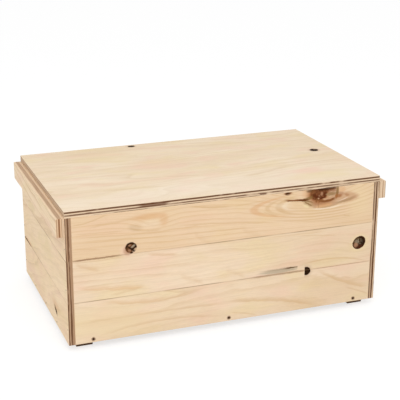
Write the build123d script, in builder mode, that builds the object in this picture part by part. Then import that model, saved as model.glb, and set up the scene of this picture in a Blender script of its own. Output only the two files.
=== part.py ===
from build123d import *
import os

# A low plywood storage box with a loose lid. The floor sits inside four walls, which are nailed
# edge to edge. A grip cleat runs along the top of each end, battens under the lid drop inside
# the walls, and runners under the floor do the same when one box stands on another.
# Sizes are in millimetres. The origin is on the ground at the middle of the box, the front
# faces -Y, and +Z is up.

# Driving dimensions
WIDTH = 600.0  # across the two end panels
DEPTH = 364.0
WALL_HEIGHT = 235.0
PLY = 12.0
ARRIS = 0.5  # radius that every sawn corner is sanded to

# The face veneer of each wall is laid in equal strips, with a fine V-shaped seam between them
VENEER_STRIPS = 3
SEAM_BAR = 0.6  # side of the square bar that cuts the seam, corner first

# Grip cleats along the ends, and the strips under the floor and the lid
CLEAT_THICKNESS = 14.0
CLEAT_HEIGHT = 33.0
CLEAT_END_GAP = 1.0
STRIP_WIDTH = 30.0
STRIP_CLEARANCE = 4.5  # between a strip and the end panel that it drops inside
STRIP_END_CLEARANCE = 4.5

# Countersunk screws, sunk a little below the wood
SCREW_RADIUS = 1.5
SCREW_HEAD_RADIUS = 2.8
SCREW_SINK = 0.4
COUNTERSINK_ANGLE = 90.0
SHANK_CLEARANCE = 0.05
RECESS_LENGTH = 3.2
RECESS_WIDTH = 0.8
RECESS_DEPTH = 1.1
SCREW_LENGTH_IN_CLEAT = 23.0
SCREW_LENGTH_IN_STRIP = 21.0

# Flat-headed nails, flush with the wood
NAIL_RADIUS = 0.9
FLOOR_NAIL_HEAD_RADIUS = 1.8
CORNER_NAIL_HEAD_RADIUS = 1.2
NAIL_HEAD_THICKNESS = 0.8
NAIL_LENGTH = 36.0

# Levels and lengths that follow from them
FLOOR_UNDERSIDE = PLY  # the runners are cut from the same sheet as the panels
FLOOR_MIDDLE = FLOOR_UNDERSIDE + PLY / 2
FLOOR_TOP = FLOOR_UNDERSIDE + PLY
RIM = FLOOR_UNDERSIDE + WALL_HEIGHT
WALL_MIDDLE = FLOOR_UNDERSIDE + WALL_HEIGHT / 2
LID_TOP = RIM + PLY
INNER_WIDTH = WIDTH - 2 * PLY
INNER_DEPTH = DEPTH - 2 * PLY
STRIP_LENGTH = INNER_DEPTH - 2 * STRIP_END_CLEARANCE
STRIP_X = (INNER_WIDTH - STRIP_WIDTH) / 2 - STRIP_CLEARANCE
CLEAT_LENGTH = DEPTH - 2 * CLEAT_END_GAP
CLEAT_MIDDLE = RIM - CLEAT_HEIGHT / 2
SEAM_PITCH = WALL_HEIGHT / VENEER_STRIPS

# Planes of the outer faces. In each, local x runs along the wall, local y runs up and local z
# points out of the wood.
FRONT = Plane(origin=(0, -DEPTH / 2, 0), x_dir=(1, 0, 0), z_dir=(0, -1, 0))
BACK = Plane(origin=(0, DEPTH / 2, 0), x_dir=(-1, 0, 0), z_dir=(0, 1, 0))
LEFT = Plane(origin=(-WIDTH / 2, 0, 0), x_dir=(0, -1, 0), z_dir=(-1, 0, 0))
RIGHT = Plane(origin=(WIDTH / 2, 0, 0), x_dir=(0, 1, 0), z_dir=(1, 0, 0))
LEFT_CLEAT_FACE = LEFT.offset(CLEAT_THICKNESS)
RIGHT_CLEAT_FACE = RIGHT.offset(CLEAT_THICKNESS)
LEFT_INSIDE = Plane(origin=(-INNER_WIDTH / 2, 0, 0), x_dir=(0, 1, 0), z_dir=(1, 0, 0))
RIGHT_INSIDE = Plane(origin=(INNER_WIDTH / 2, 0, 0), x_dir=(0, -1, 0), z_dir=(-1, 0, 0))

# Planes of the level faces, with local x along the box
LID_FACE = Plane.XY.offset(LID_TOP)
FLOOR_FACE = Plane.XY.offset(FLOOR_TOP)
RUNNER_UNDERSIDE = Plane(origin=(0, 0, 0), x_dir=(1, 0, 0), z_dir=(0, 0, -1))
BATTEN_UNDERSIDE = Plane(origin=(0, 0, RIM - PLY), x_dir=(1, 0, 0), z_dir=(0, 0, -1))

# Open faults in the outer veneer, on the plane of their face: the centre, the length along the
# grain, the height, the turn in degrees, and how much of the left end is still filled with wood.
FAULT_DEPTH = 1.2
FRONT_FAULTS = [
    (-184.2, 179.8, 21.0, 20.0, 0.0, 0.0),
    (263.0, 131.0, 27.6, 23.6, 35.0, 0.0),
    (154.6, 88.3, 16.0, 16.2, 0.0, 4.6),
    (112.5, 243.4, 7.5, 5.0, 0.0, 0.0),
]
LEFT_FAULTS = [
    (-157.0, 90.0, 56.0, 2.8, 0.0, 0.0),
    (82.5, 42.4, 20.0, 3.2, -29.0, 0.0),
]
LID_FAULTS = [
    (262.5, 18.0, 16.5, 16.0, 0.0, 0.0),
    (-75.0, 170.5, 14.0, 11.0, 0.0, 0.0),
]

# Where the fasteners go, as points on the plane of the face that they start from
FLOOR_NAILS_LONG = [(x, FLOOR_MIDDLE) for x in (-256.0, 0.0, 256.0)]
FLOOR_NAILS_SHORT = [(x, FLOOR_MIDDLE) for x in (-90.0, 0.0, 90.0)]
CORNER_NAIL_X = (DEPTH - PLY) / 2
CORNER_NAIL_HEIGHTS = (40.0, 115.0, 190.0)
CORNER_NAILS = [(x, z) for x in (-CORNER_NAIL_X, CORNER_NAIL_X) for z in CORNER_NAIL_HEIGHTS]
SCREW_YS = (-135.0, -45.0, 45.0, 135.0)
CLEAT_SCREWS = [(y, CLEAT_MIDDLE) for y in SCREW_YS]
LEFT_STRIP_SCREWS = [(-STRIP_X, y) for y in SCREW_YS]
RIGHT_STRIP_SCREWS = [(STRIP_X, y) for y in SCREW_YS]


def board(face, length, height, middle=(0.0, 0.0), thickness=PLY):
    """Makes a sanded board with its outer side on the face."""
    with BuildSketch(face) as outline:
        with Locations(middle):
            Rectangle(length, height)
    extrude(outline.sketch, amount=-thickness)
    fillet(edges(), ARRIS)


def cut_seams(face, length):
    """Cuts the seams between the veneer strips of a wall."""
    heights = [FLOOR_UNDERSIDE + SEAM_PITCH * (i + 1) for i in range(VENEER_STRIPS - 1)]
    with Locations(*[face * Pos(0, z, 0) for z in heights]):
        Box(length, SEAM_BAR, SEAM_BAR, rotation=(45, 0, 0), mode=Mode.SUBTRACT)


def cut_faults(face, faults):
    """Sinks a shallow pocket where the outer veneer has lost a knot or has split."""
    with BuildSketch(face) as outline:
        for x, y, length, height, turn, filled in faults:
            with Locations(Location((x, y, 0), (0, 0, turn))):
                Ellipse(length / 2, height / 2)
                if filled:
                    with Locations((-length / 2, 0)):
                        Rectangle(2 * filled, height, mode=Mode.SUBTRACT)
    extrude(outline.sketch, amount=-FAULT_DEPTH, mode=Mode.SUBTRACT)


def drill_for_screws(face, points, length):
    """Drills countersunk holes in which each head rests on its cone."""
    with Locations(*[face * Pos(x, y, 0) for x, y in points]):
        CounterSinkHole(
            SCREW_RADIUS + SHANK_CLEARANCE,
            SCREW_HEAD_RADIUS + SCREW_SINK,
            depth=SCREW_SINK + length,
            counter_sink_angle=COUNTERSINK_ANGLE,
        )


def drive_screws(face, points, length):
    """Makes countersunk screws with a cross recess in each head."""
    upright = (Align.CENTER, Align.CENTER, Align.MAX)
    with Locations(*[face * Pos(x, y, -SCREW_SINK) for x, y in points]):
        Cylinder(SCREW_RADIUS, length, align=upright)
        Cone(SCREW_RADIUS, SCREW_HEAD_RADIUS, SCREW_HEAD_RADIUS - SCREW_RADIUS, align=upright)
        for turn in (0, 90):
            Box(
                RECESS_LENGTH,
                RECESS_WIDTH,
                RECESS_DEPTH,
                rotation=(0, 0, turn),
                align=upright,
                mode=Mode.SUBTRACT,
            )


def drill_for_nails(face, points, head_radius):
    """Drills nail holes, with the seat that each head is driven into."""
    with Locations(*[face * Pos(x, y, 0) for x, y in points]):
        CounterBoreHole(
            NAIL_RADIUS + SHANK_CLEARANCE,
            head_radius + SHANK_CLEARANCE,
            NAIL_HEAD_THICKNESS,
            depth=NAIL_LENGTH,
        )


def drive_nails(face, points, head_radius):
    """Makes flat-headed nails."""
    upright = (Align.CENTER, Align.CENTER, Align.MAX)
    with Locations(*[face * Pos(x, y, 0) for x, y in points]):
        Cylinder(NAIL_RADIUS, NAIL_LENGTH, align=upright)
        Cylinder(head_radius, NAIL_HEAD_THICKNESS, align=upright)


def keep(part, name):
    """Labels a finished piece and writes it under its own name."""
    part.label = name
    export_step(part, f"parts/{name}.step")


os.makedirs("parts", exist_ok=True)

# The front and back panels stand between the end panels
with BuildPart() as front_panel:
    board(FRONT, INNER_WIDTH, WALL_HEIGHT, (0, WALL_MIDDLE))
    cut_seams(FRONT, INNER_WIDTH)
    cut_faults(FRONT, FRONT_FAULTS)
    drill_for_nails(FRONT, FLOOR_NAILS_LONG, FLOOR_NAIL_HEAD_RADIUS)
    drill_for_nails(LEFT, CORNER_NAILS, CORNER_NAIL_HEAD_RADIUS)
    drill_for_nails(RIGHT, CORNER_NAILS, CORNER_NAIL_HEAD_RADIUS)
keep(front_panel.part, "front_panel")

with BuildPart() as back_panel:
    board(BACK, INNER_WIDTH, WALL_HEIGHT, (0, WALL_MIDDLE))
    cut_seams(BACK, INNER_WIDTH)
    drill_for_nails(BACK, FLOOR_NAILS_LONG, FLOOR_NAIL_HEAD_RADIUS)
    drill_for_nails(LEFT, CORNER_NAILS, CORNER_NAIL_HEAD_RADIUS)
    drill_for_nails(RIGHT, CORNER_NAILS, CORNER_NAIL_HEAD_RADIUS)
keep(back_panel.part, "back_panel")

# The end panels cover the ends of the other two, so their edges show at the front
with BuildPart() as left_end_panel:
    board(LEFT, DEPTH, WALL_HEIGHT, (0, WALL_MIDDLE))
    cut_seams(LEFT, DEPTH)
    cut_faults(LEFT, LEFT_FAULTS)
    drill_for_nails(LEFT, FLOOR_NAILS_SHORT, FLOOR_NAIL_HEAD_RADIUS)
    drill_for_nails(LEFT, CORNER_NAILS, CORNER_NAIL_HEAD_RADIUS)
    drill_for_screws(LEFT_INSIDE, CLEAT_SCREWS, SCREW_LENGTH_IN_CLEAT)
keep(left_end_panel.part, "left_end_panel")

with BuildPart() as right_end_panel:
    board(RIGHT, DEPTH, WALL_HEIGHT, (0, WALL_MIDDLE))
    cut_seams(RIGHT, DEPTH)
    drill_for_nails(RIGHT, FLOOR_NAILS_SHORT, FLOOR_NAIL_HEAD_RADIUS)
    drill_for_nails(RIGHT, CORNER_NAILS, CORNER_NAIL_HEAD_RADIUS)
    drill_for_screws(RIGHT_INSIDE, CLEAT_SCREWS, SCREW_LENGTH_IN_CLEAT)
keep(right_end_panel.part, "right_end_panel")

# The floor sits inside the four walls, level with their lower edges
with BuildPart() as bottom_panel:
    board(FLOOR_FACE, INNER_WIDTH, INNER_DEPTH)
    drill_for_nails(FRONT, FLOOR_NAILS_LONG, FLOOR_NAIL_HEAD_RADIUS)
    drill_for_nails(BACK, FLOOR_NAILS_LONG, FLOOR_NAIL_HEAD_RADIUS)
    drill_for_nails(LEFT, FLOOR_NAILS_SHORT, FLOOR_NAIL_HEAD_RADIUS)
    drill_for_nails(RIGHT, FLOOR_NAILS_SHORT, FLOOR_NAIL_HEAD_RADIUS)
    drill_for_screws(RUNNER_UNDERSIDE, LEFT_STRIP_SCREWS, SCREW_LENGTH_IN_STRIP)
    drill_for_screws(RUNNER_UNDERSIDE, RIGHT_STRIP_SCREWS, SCREW_LENGTH_IN_STRIP)
keep(bottom_panel.part, "bottom_panel")

with BuildPart() as left_base_runner:
    board(RUNNER_UNDERSIDE, STRIP_WIDTH, STRIP_LENGTH, (-STRIP_X, 0))
    drill_for_screws(RUNNER_UNDERSIDE, LEFT_STRIP_SCREWS, SCREW_LENGTH_IN_STRIP)
keep(left_base_runner.part, "left_base_runner")

with BuildPart() as right_base_runner:
    board(RUNNER_UNDERSIDE, STRIP_WIDTH, STRIP_LENGTH, (STRIP_X, 0))
    drill_for_screws(RUNNER_UNDERSIDE, RIGHT_STRIP_SCREWS, SCREW_LENGTH_IN_STRIP)
keep(right_base_runner.part, "right_base_runner")

# The grip cleats are level with the rim and are screwed on from inside the box
with BuildPart() as left_handle_cleat:
    board(LEFT_CLEAT_FACE, CLEAT_LENGTH, CLEAT_HEIGHT, (0, CLEAT_MIDDLE), CLEAT_THICKNESS)
    drill_for_screws(LEFT_INSIDE, CLEAT_SCREWS, SCREW_LENGTH_IN_CLEAT)
keep(left_handle_cleat.part, "left_handle_cleat")

with BuildPart() as right_handle_cleat:
    board(RIGHT_CLEAT_FACE, CLEAT_LENGTH, CLEAT_HEIGHT, (0, CLEAT_MIDDLE), CLEAT_THICKNESS)
    drill_for_screws(RIGHT_INSIDE, CLEAT_SCREWS, SCREW_LENGTH_IN_CLEAT)
keep(right_handle_cleat.part, "right_handle_cleat")

# The lid lies on the rim, and its battens keep it from sliding off
with BuildPart() as lid_panel:
    board(LID_FACE, WIDTH, DEPTH)
    cut_faults(LID_FACE, LID_FAULTS)
    drill_for_screws(BATTEN_UNDERSIDE, LEFT_STRIP_SCREWS, SCREW_LENGTH_IN_STRIP)
    drill_for_screws(BATTEN_UNDERSIDE, RIGHT_STRIP_SCREWS, SCREW_LENGTH_IN_STRIP)
keep(lid_panel.part, "lid_panel")

with BuildPart() as lid_left_batten:
    board(BATTEN_UNDERSIDE, STRIP_WIDTH, STRIP_LENGTH, (-STRIP_X, 0))
    drill_for_screws(BATTEN_UNDERSIDE, LEFT_STRIP_SCREWS, SCREW_LENGTH_IN_STRIP)
keep(lid_left_batten.part, "lid_left_batten")

with BuildPart() as lid_right_batten:
    board(BATTEN_UNDERSIDE, STRIP_WIDTH, STRIP_LENGTH, (STRIP_X, 0))
    drill_for_screws(BATTEN_UNDERSIDE, RIGHT_STRIP_SCREWS, SCREW_LENGTH_IN_STRIP)
keep(lid_right_batten.part, "lid_right_batten")

# Nails hold the walls to each other and to the floor
with BuildPart() as front_floor_nails:
    drive_nails(FRONT, FLOOR_NAILS_LONG, FLOOR_NAIL_HEAD_RADIUS)
keep(front_floor_nails.part, "front_floor_nails")

with BuildPart() as back_floor_nails:
    drive_nails(BACK, FLOOR_NAILS_LONG, FLOOR_NAIL_HEAD_RADIUS)
keep(back_floor_nails.part, "back_floor_nails")

with BuildPart() as left_floor_nails:
    drive_nails(LEFT, FLOOR_NAILS_SHORT, FLOOR_NAIL_HEAD_RADIUS)
keep(left_floor_nails.part, "left_floor_nails")

with BuildPart() as right_floor_nails:
    drive_nails(RIGHT, FLOOR_NAILS_SHORT, FLOOR_NAIL_HEAD_RADIUS)
keep(right_floor_nails.part, "right_floor_nails")

with BuildPart() as left_corner_nails:
    drive_nails(LEFT, CORNER_NAILS, CORNER_NAIL_HEAD_RADIUS)
keep(left_corner_nails.part, "left_corner_nails")

with BuildPart() as right_corner_nails:
    drive_nails(RIGHT, CORNER_NAILS, CORNER_NAIL_HEAD_RADIUS)
keep(right_corner_nails.part, "right_corner_nails")

# Screws hold the cleats, the runners and the battens
with BuildPart() as left_cleat_screws:
    drive_screws(LEFT_INSIDE, CLEAT_SCREWS, SCREW_LENGTH_IN_CLEAT)
keep(left_cleat_screws.part, "left_cleat_screws")

with BuildPart() as right_cleat_screws:
    drive_screws(RIGHT_INSIDE, CLEAT_SCREWS, SCREW_LENGTH_IN_CLEAT)
keep(right_cleat_screws.part, "right_cleat_screws")

with BuildPart() as left_runner_screws:
    drive_screws(RUNNER_UNDERSIDE, LEFT_STRIP_SCREWS, SCREW_LENGTH_IN_STRIP)
keep(left_runner_screws.part, "left_runner_screws")

with BuildPart() as right_runner_screws:
    drive_screws(RUNNER_UNDERSIDE, RIGHT_STRIP_SCREWS, SCREW_LENGTH_IN_STRIP)
keep(right_runner_screws.part, "right_runner_screws")

with BuildPart() as lid_left_batten_screws:
    drive_screws(BATTEN_UNDERSIDE, LEFT_STRIP_SCREWS, SCREW_LENGTH_IN_STRIP)
keep(lid_left_batten_screws.part, "lid_left_batten_screws")

with BuildPart() as lid_right_batten_screws:
    drive_screws(BATTEN_UNDERSIDE, RIGHT_STRIP_SCREWS, SCREW_LENGTH_IN_STRIP)
keep(lid_right_batten_screws.part, "lid_right_batten_screws")
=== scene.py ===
"""A plywood storage box with a loose lid: the finish of every board, its knots, and the stage."""

import inspect
import math

import bmesh
import bpy
from bpy.props import FloatProperty, FloatVectorProperty, PointerProperty
from mathutils import Matrix, Vector, noise


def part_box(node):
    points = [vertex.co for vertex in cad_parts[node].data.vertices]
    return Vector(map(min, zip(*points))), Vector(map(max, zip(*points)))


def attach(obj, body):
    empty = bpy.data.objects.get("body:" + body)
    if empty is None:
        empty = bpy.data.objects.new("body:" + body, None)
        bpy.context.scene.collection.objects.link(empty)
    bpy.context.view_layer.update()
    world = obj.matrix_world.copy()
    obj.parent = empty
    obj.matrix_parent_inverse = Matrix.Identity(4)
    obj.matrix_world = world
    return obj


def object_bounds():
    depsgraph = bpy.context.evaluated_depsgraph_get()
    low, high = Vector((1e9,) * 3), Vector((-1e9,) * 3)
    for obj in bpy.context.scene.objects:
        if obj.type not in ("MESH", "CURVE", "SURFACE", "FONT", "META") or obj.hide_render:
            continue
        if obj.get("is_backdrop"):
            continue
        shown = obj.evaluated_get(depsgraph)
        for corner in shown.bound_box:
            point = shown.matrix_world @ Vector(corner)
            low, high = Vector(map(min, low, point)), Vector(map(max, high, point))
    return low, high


bl_info = {
    "name": "Plywood box",
    "version": (1, 0, 0),
    "blender": (4, 5, 0),
    "location": "3D View > Sidebar > Plywood box",
    "description": "Finishes a plywood storage box with a loose lid, and sets its stage",
    "category": "Object",
}

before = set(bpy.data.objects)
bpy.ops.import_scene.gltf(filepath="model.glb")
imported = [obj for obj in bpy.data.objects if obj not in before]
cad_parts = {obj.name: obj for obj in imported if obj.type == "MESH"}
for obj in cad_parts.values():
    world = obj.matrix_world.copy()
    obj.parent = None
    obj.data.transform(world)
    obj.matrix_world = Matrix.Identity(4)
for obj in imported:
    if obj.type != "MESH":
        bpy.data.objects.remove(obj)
CAD_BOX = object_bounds()

MM = 0.001

# The stage: the camera's place in metres and its angles in degrees, the soft lamp, and how white the
# floor is for the light, how grey it is to the eye, and the glow that is added to that grey
CAMERA_PLACE = (-0.6681, -1.8149, 0.8352)
CAMERA_ANGLES = (71.514, -0.0969, -20.4837)
LAMP_PLACE = (-0.6, -1.7, 2.1)
LAMP_SIZE = 1.6
FLOOR_WHITE = 0.9
FLOOR_GREY = 0.38
FLOOR_GLOW = 0.68

# How much bare wood and dull metal shine, and the strength and height of their bumps
WOOD_GLOSS = 0.05
METAL_GLOSS = 0.1
WOOD_BUMP = (0.35, 0.15 * MM)
METAL_BUMP = (0.3, 0.05 * MM)


def linear(red, green, blue):
    """The linear colour of a paint chip given in the usual 0 to 255 steps."""
    steps = [value / 255 for value in (red, green, blue)]
    return [s / 12.92 if s <= 0.04045 else ((s + 0.055) / 1.055) ** 2.4 for s in steps]


# Sizes and colours that a user would change


def colour(name, description, *chip):
    """A colour setting whose default is a paint chip."""
    look = {"default": linear(*chip), "min": 0, "max": 1, "size": 3, "subtype": "COLOR"}
    return FloatVectorProperty(name=name, description=description, **look)


class WoodColours(bpy.types.PropertyGroup):
    """The colours of bare plywood."""

    wall_pale: colour("Wall, pale", "Palest wood of the walls", 240, 218, 191)
    wall_tan: colour("Wall, tan", "Darker broad patches of the walls", 232, 207, 175)
    wall_line: colour("Wall, growth lines", "Dark side of a growth ring on the walls", 211, 176, 133)
    wall_gold: colour("Wall, golden", "Golden wash of the upper strip", 226, 190, 148)
    end_pale: colour("Ends, pale", "Palest wood of the end panels", 249, 225, 192)
    end_tan: colour("Ends, tan", "Darker broad patches of the end panels", 242, 214, 178)
    end_line: colour("Ends, growth lines", "Dark side of a growth ring on the ends", 214, 184, 146)
    lid_pale: colour("Lid, pale", "Palest wood of the lid", 241, 223, 198)
    lid_tan: colour("Lid, tan", "Darker broad patches of the lid", 233, 210, 179)
    lid_line: colour("Lid, growth lines", "Dark side of a growth ring on the lid", 217, 191, 156)
    blush: colour("Blush", "Pinkish patches of a board", 238, 203, 180)
    sap: colour("Sapwood", "Yellowish patches of a board", 233, 212, 166)
    ply_pale: colour("Edge, pale plies", "A ply that is sawn along its grain", 234, 208, 177)
    ply_brown: colour("Edge, brown plies", "A ply that is sawn across its grain", 172, 137, 107)
    # ply_dark also paints the shade of the gap under the lid, as the third dark line of the lid's sawn edge
    ply_dark: colour("Edge, dark lines", "Glue and end grain between the plies", 96, 58, 32)
    seam: colour("Seam", "Shade of a seam between veneer strips", 158, 130, 98)
    lid_white: colour("Lid, front", "Paler wood along the front of the lid", 245, 233, 216)
    # bark also paints shade: the dark fill of the holes, the foot of the runners' ends, and part of the dark
    # band along the rim over the rim knot
    bark: colour("Bark", "Darkest wood of a knot, and the floor of a hole", 44, 24, 6)
    core: colour("Core", "Reddish dark wood in the middle of a knot", 92, 44, 18)
    heart: colour("Heartwood", "Brown wood of a knot", 134, 85, 48)
    copper: colour("Copper", "Orange brown wood at the rim of a knot", 162, 104, 60)
    flesh: colour("Flesh", "Pinkish brown wood in a knot", 180, 134, 102)
    amber: colour("Amber", "Light brown wood round a knot", 198, 156, 120)
    resin: colour("Resin", "Orange wood round a knot", 216, 166, 118)
    moss: colour("Moss", "Greenish tan wood round a knot", 174, 144, 104)
    olive: colour("Olive", "Dark olive wood round a knot", 136, 102, 58)
    streak: colour("Streak", "A grey mineral streak", 104, 80, 52)
    ash: colour("Ash", "Pale grey part of a streak or a knot", 172, 158, 134)


class MetalColours(bpy.types.PropertyGroup):
    """The colours of the fasteners."""

    nail: colour("Nails", "Oxidised steel of the nail heads", 48, 30, 12)
    rust: colour("Nails, rust", "Brown bloom on a nail head", 60, 38, 14)
    screw: colour("Screws", "Plated steel of the screws", 206, 196, 170)


class KnotSizes(bpy.types.PropertyGroup):
    """How the loose knots sit in the front panel."""

    sink: FloatProperty(
        name="Sink", description="Depth of a knot below the wood", default=0.00025, min=0, subtype="DISTANCE"
    )
    relief: FloatProperty(
        name="Relief", description="Height of a knot's rings", default=0.00035, min=0, subtype="DISTANCE"
    )


class StageSettings(bpy.types.PropertyGroup):
    """The camera, the light and the floor."""

    lens: FloatProperty(name="Lens", description="Focal length in mm on a 36 mm sensor", default=94.73, min=1)
    dome: FloatProperty(name="Dome", description="Strength of the white light all round", default=0.8, min=0)
    key: FloatProperty(name="Key", description="Power of the soft lamp", default=22, min=0, unit="POWER")
    floor: FloatProperty(name="Floor", description="Side of the floor", default=30, min=1, subtype="DISTANCE")


# Shader trees


class Wire:
    """A value in a shader tree. Arithmetic on it adds Math nodes to the tree."""

    def __init__(self, tree, socket):
        self.tree = tree
        self.socket = socket

    def math(self, operation, *others):
        return add_node(self.tree, "Math", self, *others, operation=operation)

    def __add__(self, other):
        return self.math("ADD", other)

    def __sub__(self, other):
        return self.math("SUBTRACT", other)

    def __rsub__(self, other):
        return add_node(self.tree, "Math", other, self, operation="SUBTRACT")

    def __mul__(self, other):
        return self.math("MULTIPLY", other)

    def __truediv__(self, other):
        return self.math("DIVIDE", other)

    __radd__ = __add__
    __rmul__ = __mul__

    def step(self, *ends):
        """A smooth step, given by where it starts and ends and its value at each."""
        return add_node(self.tree, "MapRange", self, *ends, interpolation_type="SMOOTHSTEP")

    def rise(self, low, high):
        """0 below low, 1 above high, and a smooth step between them."""
        return self.step(low, high, 0, 1)

    def fall(self, low, high):
        """1 below low, 0 above high, and a smooth step between them."""
        return self.step(low, high, 1, 0)

    def band(self, low, high, soft):
        """1 between low and high, fading over soft on both sides."""
        return self.rise(low - soft, low + soft) * self.fall(high - soft, high + soft)


def join(tree, value, socket):
    """Links a wire to a socket, or sets the socket to a plain value."""
    if isinstance(value, Wire):
        tree.links.new(value.socket, socket)
    elif socket.type == "RGBA":
        socket.default_value = (*value[:3], 1)
    else:
        socket.default_value = value


def add_node(tree, kind, *inputs, named=None, **settings):
    """Adds a node, gives it its inputs in order or by name, and gives back its first output."""
    node = tree.nodes.new("ShaderNode" + kind)
    for name, value in settings.items():
        setattr(node, name, value)
    for socket, value in zip(node.inputs, inputs):
        join(tree, value, socket)
    for name, value in (named or {}).items():
        join(tree, value, node.inputs[name])
    return Wire(tree, node.outputs[0])


def cloud(tree, place, detail=2, roughness=0.5, distortion=0):
    """Soft noise from 0 to 1, about one lump to each unit of place."""
    look = {"Scale": 1, "Detail": detail, "Roughness": roughness, "Distortion": distortion}
    return add_node(tree, "TexNoise", named={"Vector": place, **look})


def lumps(x, y, z, *look):
    """Soft noise at a place given by three numbers, of which the first is a wire."""
    return cloud(x.tree, add_node(x.tree, "CombineXYZ", x, y, z), *look)


def tint(tree, share, below, above, way="MIX"):
    """The colour above laid over the colour below by a share from 0 to 1."""
    node = tree.nodes.new("ShaderNodeMix")
    node.data_type = "RGBA"
    node.blend_type = way
    for socket, value in zip((node.inputs[0], node.inputs[6], node.inputs[7]), (share, below, above)):
        join(tree, value, socket)
    return Wire(tree, node.outputs[2])


def clear_tree(owner):
    """Gives a material or a world an empty shader tree."""
    owner.use_nodes = True
    owner.node_tree.nodes.clear()
    return owner.node_tree


def object_place(tree):
    """The place of a point on the object's own axes."""
    return Wire(tree, tree.nodes.new("ShaderNodeTexCoord").outputs["Object"])


def show(tree, surface, kind="Material"):
    """Joins a shader to the output of a material or a world."""
    output = tree.nodes.new("ShaderNodeOutput" + kind)
    tree.links.new(surface.socket, output.inputs["Surface"])


def show_bumped(tree, height, strength, distance, **look):
    """Joins a bumped surface to a material's output. Its inputs are given by name, with _ for a space."""
    ridges = {"Strength": strength, "Distance": distance, "Height": height}
    look["Normal"] = add_node(tree, "Bump", named=ridges)
    named = {name.replace("_", " "): value for name, value in look.items()}
    show(tree, add_node(tree, "BsdfPrincipled", named=named))


# Node groups. Each is written as a function on wires.

COLOUR = "NodeSocketColor"
NUMBER = "NodeSocketFloat"


def build_group(name, build, outputs):
    """Builds a node group whose inputs are a function's arguments and whose outputs are what it gives
    back. An output with an input's name is of that input's kind."""
    tree = bpy.data.node_groups.new(name, "ShaderNodeTree")
    kinds = {}
    for argument in inspect.signature(build).parameters:
        kinds[argument.replace("_", " ").title()] = build.__annotations__.get(argument, NUMBER)
    for label, kind in kinds.items():
        tree.interface.new_socket(label, in_out="INPUT", socket_type=kind)
    for label in outputs:
        tree.interface.new_socket(label, in_out="OUTPUT", socket_type=kinds.get(label, NUMBER))
    entry = tree.nodes.new("NodeGroupInput")
    leave = tree.nodes.new("NodeGroupOutput")
    results = build(*[Wire(tree, entry.outputs[label]) for label in kinds])
    for wire, socket in zip([results] if isinstance(results, Wire) else results, leave.inputs):
        join(tree, wire, socket)
    return tree


def node_group(name, *outputs):
    """Makes a function on wires into a node group, which is built once and placed by each call."""

    def wrap(build):
        def place(*values):
            tree = values[0].tree
            group = bpy.data.node_groups.get(name) or build_group(name, build, outputs)
            node = add_node(tree, "Group", *values, node_tree=group).socket.node
            wires = [Wire(tree, socket) for socket in node.outputs]
            return wires if len(wires) > 1 else wires[0]

        return place

    return wrap


@node_group("warp", "Along", "Across")
def ragged_place(along, across, lump, reach):
    """Shifts a place by noise, so that what is drawn there has a ragged outline."""
    places = []
    for number, place in enumerate((along, across)):
        shift = lumps(along / lump, across / lump, number * 5 + 3, 3, 0.6)
        places.append(place + (shift - 0.5) * reach)
    return places


@node_group("oval", "Distance")
def oval_distance(along, across, centre_along, centre_across, half_length, half_height, turn):
    """How far a point is from the middle of an oval, as a share of the way to its rim."""
    along = along - centre_along
    across = across - centre_across
    cosine = turn.math("COSINE")
    sine = turn.math("SINE")
    length = (along * cosine + across * sine) / half_length
    height = (across * cosine - along * sine) / half_height
    return (length * length + height * height).math("SQRT")


@node_group("swell", "Field")
def growth_swell(distance, rings):
    """A bump in the growth of the tree, round which the growth lines close into ovals."""
    return (distance * distance * -1).math("EXPONENT") * rings


@node_group("veneer", "Line", "Tone", "Hue", "Fibre")
def veneer_figure(along, across, seed, field, rings, slope):
    """The figure of peeled veneer: growth lines, broad tone and hue, and fine fibre, all from 0 to 1."""
    island = lumps(along * 2.4, across * 13, seed, 1.4, 0.4, 0.1)
    waver = lumps(along * 26, across * 90, seed)
    field = island * rings + across * slope + waver * 0.5 + field
    ring = field.math("FRACT")
    dark_side = ring.rise(0.35, 0.86) * ring.fall(0.87, 0.97) * 0.65
    sharp_side = ring.rise(0.74, 0.87) * ring.fall(0.88, 0.96) * 0.45
    line = dark_side + sharp_side
    strength = lumps(along * 5, field.math("FLOOR") * 0.73, seed + 4, 1)
    half_ring = (field * 2 + 0.4).math("FRACT")
    half_line = half_ring.rise(0.45, 0.85) * half_ring.fall(0.86, 1) * strength.fall(0.4, 0.65)
    line = line * strength.rise(0.3, 0.64) + half_line * 0.4
    tone = lumps(along * 4, across * 15, seed + 9, 3, 0.55).rise(0.28, 0.72)
    hue = lumps(along * 11, across * 26, seed + 21)
    coarse = lumps(along * 20, across * 460 + ring * 2, seed, 3, 0.7)
    flecks = lumps(along * 130, across * 1300, seed, 1)
    return line, tone, hue, coarse * 0.7 + flecks * 0.3


@node_group("stroke", "Growth", "Vein")
def line_masks(along, across, waver, start_along, start_across, end_along, end_across, bow, width):
    """A line from a start to an end, bowed between them. As a growth line it is sharp below and soft
    above, and as a vein it is as soft on both sides."""
    share = (along - start_along) / (end_along - start_along)
    middle = start_across + (end_across - start_across) * share
    middle = middle + bow * share * (1 - share) * 4
    off = (across - middle) / width
    ends = share.rise(-0.02, 0.22) * share.fall(0.78, 1.02)
    uneven = off + waver * 0.9
    growth = uneven.rise(-0.45, -0.05) * uneven.fall(-0.05, 1.1) * ends
    vein = (off + waver * 0.4).math("ABSOLUTE").fall(0.25, 0.65) * ends
    return growth, vein


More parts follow.
